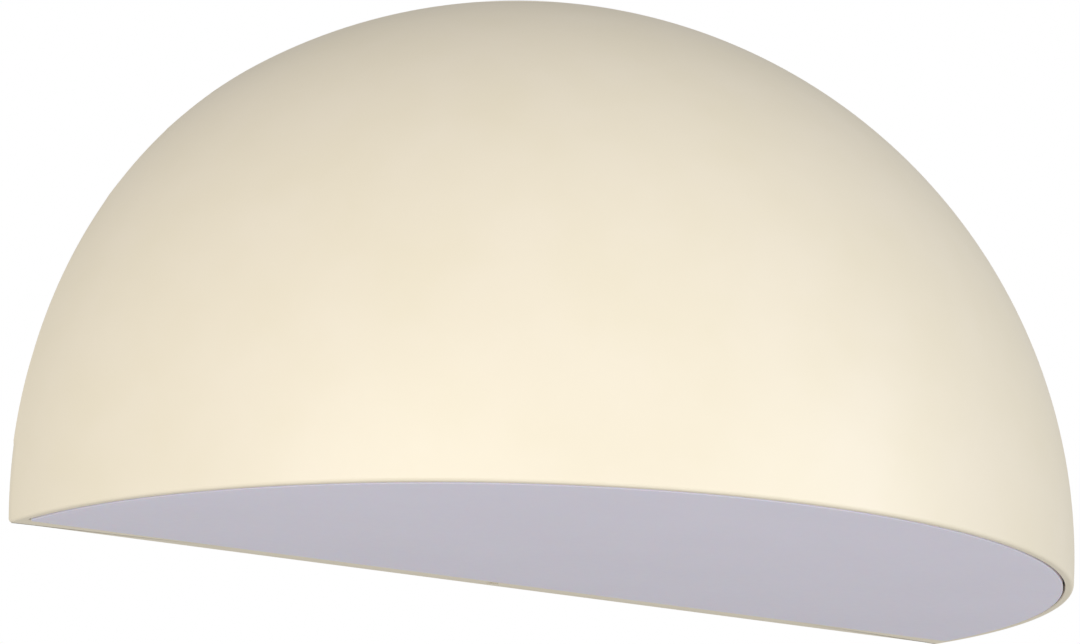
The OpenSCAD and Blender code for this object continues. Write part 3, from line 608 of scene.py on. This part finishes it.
# Screw bosses: three run up into the dome, two stand on the back wall
def addBosses(bm):
    radius, foot, height = dome["bossRadius"], dome["bossFoot"], dome["webBossHeight"]
    risers = bmesh.new()
    for x, y in ringPlaces:
        addRod(risers, (x, y, foot), upward, radius, dome["radius"])
    risers = carved(risers, ballShape(dome["radius"] - dome["wall"] / 2), "INTERSECT")
    bm = carved(bm, risers, "UNION")
    for x, y in dome["webBosses"]:
        boss = bmesh.new()
        addRod(boss, (x, y, foot), upward, radius, height)
        bm = carved(bm, boss, "UNION")
        bm = withBlock(bm, (x - dome["armWidth"] / 2, y, foot),
                       (x + dome["armWidth"] / 2, dome["over"] - dome["webFront"], foot + height))
    return bm


# Lugs that drop behind the bracket's hooks, and the block that takes the lock screw
def addLugs(bm):
    back, half = -dome["lugBack"], dome["lugWidth"] / 2
    for x in dome["lugSides"]:
        bm = withBlock(bm, (x - half, dome["over"] - dome["webFront"], dome["lugRoof"]),
                       (x + half, back, dome["lugTop"]))
        bm = withBlock(bm, (x - half, back - dome["lugThick"], dome["lugFoot"]),
                       (x + half, back, dome["lugRoof"] + dome["lugJoin"]))
    half = dome["lockBlockWidth"] / 2
    low, high = dome["lockBlockHeights"]
    return withBlock(bm, (-half, dome["lockBlockInset"] - dome["pocketBack"], low),
                     (half, -dome["lockBlockBack"], high))


# Screw holes, and holes right through the back wall for the grommet and the vent
def drillHoles(bm):
    over, wallThick = dome["over"], dome["webFront"] - dome["recessDepth"]
    holes = bmesh.new()
    for x, y in ringPlaces + list(dome["webBosses"]):
        addRod(holes, (x, y, dome["bossFoot"] - over), upward, dome["screwHole"],
               dome["screwDepth"] + over)
    addRod(holes, (0, -dome["lockOut"], -over), upward, dome["lockHole"], dome["lockDepth"] + over)
    for x, z, hole in (dome["grommetHole"], dome["ventHole"]):
        addRod(holes, (x, -dome["webFront"] - over, z), wallward, hole, wallThick + 2 * over)
    return carved(bm, holes)


def buildDome():
    bm = solidDome()
    for work in (cutPocket, hollowDome, addBosses, addLugs, drillHoles):
        bm = work(bm)
    print("dome carved:", len(bm.faces), "faces")
    return bm


newPiece(buildDome(), "domeShell", creamPowderCoat, "head", ["dome_housing"])

lens = {
    "reach": 122.52,         # its arc, from the dome's axis
    "back": 5.8,             # and its straight side, from the wall
    "corner": 1.5,
    "low": -0.2,
    "high": 2.8,
    "edgeRound": 0.2,
    "edgeSteps": 6,
    "topRound": 0.3,
    "topSteps": 3,
    "padRadius": 4,
    "padHeight": 3,
    "padSunk": 1,            # how far a pad starts inside the plate
    "padRound": 0.4,
    "pegRadius": 2.5,
    "pegTop": 27,
    "pegTip": 0.6,
    "tipSteps": 3,
    "pegPlaces": ((-58.3, -106.3), (58.3, -106.3), (-100, -23), (100, -23)),
}


# The flat lens with its four pegs, each on a round pad
def buildLens():
    bm = bmesh.new()
    rows = roundRows(lens["edgeRound"], lens["low"], 1, lens["edgeSteps"])
    rows += reversed(roundRows(lens["topRound"], lens["high"], -1, lens["topSteps"]))
    outlineStack(bm, lens["reach"], lens["back"], lens["corner"], rows)
    for x, y in lens["pegPlaces"]:
        pad = bmesh.new()
        addRod(pad, (x, y, lens["high"] - lens["padSunk"]), upward, lens["padRadius"],
               lens["padHeight"] + lens["padSunk"])
        roundEdges(pad, lens["padRound"])
        bm = carved(bm, pad, "UNION")
        peg = bmesh.new()
        addRod(peg, (x, y, lens["high"]), upward, lens["pegRadius"], lens["pegTop"] - lens["high"])
        roundEdges(peg, lens["pegTip"], lens["tipSteps"])
        bm = carved(bm, peg, "UNION")
    return bm


newPiece(buildLens(), "opalLens", opalAcrylic, "cover", ["lens"])


# A CAD node's own shape with its edges rounded, as one merged mesh
def roundedCopy(node, offset):
    bm = bmesh.new()
    bm.from_mesh(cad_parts[node].data)
    bmesh.ops.scale(bm, verts=bm.verts, vec=[1 / millimetre] * 3)
    bmesh.ops.translate(bm, verts=bm.verts, vec=fixingHeight * upward)
    bmesh.ops.remove_doubles(bm, verts=bm.verts, dist=mergeDistance)
    bmesh.ops.dissolve_limit(bm, angle_limit=math.radians(flatAngle), verts=bm.verts, edges=bm.edges)
    roundEdges(bm, offset)
    return bm


# The node, how far its edges are rounded, its body, its slot and its finish
roundedPieces = {
    "wallPlate": ("wall_bracket", 0.3, "bracket", "zinc_steel", galvanisedSteel()),
    "cableGrommet": ("cable_grommet", 0.5, "head", "black_rubber", blackRubber),
    "ventCap": ("vent_plug", 0.6, "head", "dark_plastic", darkNylon),
}
for name, (node, offset, body, slot, finish) in roundedPieces.items():
    newPiece(roundedCopy(node, offset), name, finish, body, [node])

# The nodes that keep their own meshes get their finishes
nodeFinishes = {
    turnedBrass: ["earth_stud", "earth_nut", "earth_tag_screw"],
    stainlessSteel: ["earth_washer", "lock_screw", "tray_screws", "board_screws", "driver_screws",
                     "terminal_screws", "block_screws", "earth_tag"],
    cutFoam(): ["wall_seal"],
    blackRubber: ["peg_bushes"],
    darkNylon: ["vent_nut"],
    millAluminium: ["gear_tray"],
    whiteReflector: ["reflector"],
    thermalSilicone: ["thermal_pad"],
    solderMask("whiteSolderMask", "#EBEBE4", "#DCDCD2", 0.35): ["led_board"],
    phosphorWindows(): ["led_chips"],
    whitePolycarbonate: ["board_connector", "driver_base", "driver_lid"],
    solderMask("greenSolderMask", "#1F6B38", "#2F8449", 0.3): ["driver_board"],
    coilTape(): ["driver_transformer"],
    capacitorSleeve(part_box("driver_capacitors")[1].z): ["driver_capacitors"],
    creamPolyamide: ["terminal_block"],
    wireInsulation("brownWire", "#57321E", "#5E3824"): ["live_lead"],
    wireInsulation("blueWire", "#2952A4", "#2F5AAE"): ["neutral_lead"],
    wireInsulation("earthWire", "#5E9A2A", "#D9CE3A", striped=True): ["earth_lead"],
    wireInsulation("redWire", "#AC241C", "#B62C23"): ["led_plus_lead"],
    wireInsulation("blackWire", "#1D1D1F", "#242426"): ["led_minus_lead"],
    siliconeCord: ["lens_seal"],
}
for finish, names in nodeFinishes.items():
    for name in names:
        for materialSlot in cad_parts[name].material_slots:
            materialSlot.material = finish
print("finishes made:", len(bpy.data.materials))
print("nodes finished:", sum(len(names) for names in nodeFinishes.values()))

# Camera, from a fit of the photograph's outline. Lengths in dome radii, angles in degrees
photoCamera = {
    "azimuth": 32.61,
    "elevation": 10.75,
    "roll": 1.52,
    "distance": 20,
    "pixelsPerRadius": 559.9,
    "offsetPixels": (41.4, 21.4),
    "target": (0, -0.3, 0.4),
    "imageWidth": 1080,
    "sensor": 36,            # in millimetres
    "clipEnd": 100,          # in metres
}


def addCamera():
    look = photoCamera
    azimuth, elevation, roll = (math.radians(look[k]) for k in ("azimuth", "elevation", "roll"))
    forward = Vector((math.sin(azimuth) * math.cos(elevation), math.cos(azimuth) * math.cos(elevation),
                      math.sin(elevation)))
    level = Vector((math.cos(azimuth), -math.sin(azimuth), 0))
    over = level.cross(forward)
    right = math.cos(roll) * level + math.sin(roll) * over
    up = -math.sin(roll) * level + math.cos(roll) * over
    unit = dome["radius"] * millimetre
    shift = [p / look["pixelsPerRadius"] for p in look["offsetPixels"]]
    place = Vector(look["target"]) - forward * look["distance"] - right * shift[0] + up * shift[1]
    data = bpy.data.cameras.new("photoCamera")
    data.sensor_width = look["sensor"]
    data.lens = look["pixelsPerRadius"] * look["distance"] / look["imageWidth"] * look["sensor"]
    data.clip_end = look["clipEnd"]
    camera = bpy.data.objects.new("photoCamera", data)
    bpy.context.scene.collection.objects.link(camera)
    turn = Matrix((right, up, -forward)).transposed().to_4x4()
    camera.matrix_world = Matrix.Translation(place * unit - fixingHeight * millimetre * upward) @ turn
    bpy.context.scene.camera = camera


addCamera()

# Studio, in metres: pale floor far below, even white surroundings, two large soft boxes in front
studio = {
    "floorHeight": -1.8,
    "floorSize": 40,
    "floorColour": "#F2F2F0",
    "floorGlow": 0.104,      # what lights the object from below
    "floorShown": 0.32,      # what the camera sees, so that the floor looks pale
    "surroundings": 0.432,   # what lights the object from all round
    "backdrop": 1.0,         # what the camera sees of them
    "boxes": [
        {"name": "leftBox", "azimuth": -56, "distance": 1.8, "size": 1.4, "power": 19.6,
         "colour": "#FFFFFF"},
        {"name": "rightBox", "azimuth": 34, "distance": 1.8, "size": 1.4, "power": 16.6,
         "colour": "#F2F7FF"},
    ],
}


# Pale floor of a light table. It is seen from above only, so that views from below aren't blocked
def paleFloor():
    material, tree, shader = newFinish("paleFloor", Roughness=0.8)[:3]
    shader.inputs["Base Color"].default_value = linearColour(studio["floorColour"])
    shader.inputs["Emission Color"].default_value = linearColour("#FFFFFF")
    seen = addNode(tree, "LightPath").outputs["Is Camera Ray"]
    glow = addNode(tree, "MapRange", {"To Min": studio["floorGlow"], "To Max": studio["floorShown"]},
                   {"Value": seen}).outputs["Result"]
    linkInputs(tree, shader, {"Emission Strength": glow})
    behind = addNode(tree, "NewGeometry").outputs["Backfacing"]
    clear = addNode(tree, "BsdfTransparent").outputs["BSDF"]
    mix = addNode(tree, "MixShader", None, {0: behind, 1: shader.outputs["BSDF"], 2: clear}).outputs[0]
    linkInputs(tree, tree.nodes["Material Output"], {"Surface": mix})
    return material


def addFloor():
    bm = bmesh.new()
    bmesh.ops.create_grid(bm, x_segments=1, y_segments=1, size=studio["floorSize"] / 2)
    bmesh.ops.translate(bm, verts=bm.verts, vec=(0, 0, studio["floorHeight"]))
    mesh = bpy.data.meshes.new("floor")
    bm.to_mesh(mesh)
    bm.free()
    mesh.materials.append(paleFloor())
    floor = bpy.data.objects.new("floor", mesh)
    bpy.context.scene.collection.objects.link(floor)


# Large enough and far enough out to leave soft, wide highlights on the dome
def addBoxes():
    for box in studio["boxes"]:
        azimuth = math.radians(box["azimuth"])
        away = Vector((math.sin(azimuth), -math.cos(azimuth), 0))
        light = bpy.data.lights.new(box["name"], "AREA")
        light.size = box["size"]
        light.energy = box["power"]
        light.color = linearColour(box["colour"])[:3]
        lamp = bpy.data.objects.new(box["name"], light)
        lamp.rotation_mode = "QUATERNION"
        lamp.location = away * box["distance"]
        lamp.rotation_quaternion = away.to_track_quat("Z", "Y")
        bpy.context.scene.collection.objects.link(lamp)


def addSurroundings():
    world = bpy.data.worlds.new("surroundings")
    world.use_nodes = True
    tree = world.node_tree
    background = tree.nodes["Background"]
    background.inputs["Color"].default_value = linearColour("#FFFFFF")
    seen = addNode(tree, "LightPath").outputs["Is Camera Ray"]
    strength = addNode(tree, "MapRange", {"To Min": studio["surroundings"], "To Max": studio["backdrop"]},
                       {"Value": seen}).outputs["Result"]
    linkInputs(tree, background, {"Strength": strength})
    bpy.context.scene.world = world
    bpy.context.scene.view_settings.view_transform = "Standard"


addFloor()
addBoxes()
addSurroundings()
print("camera and studio in place")
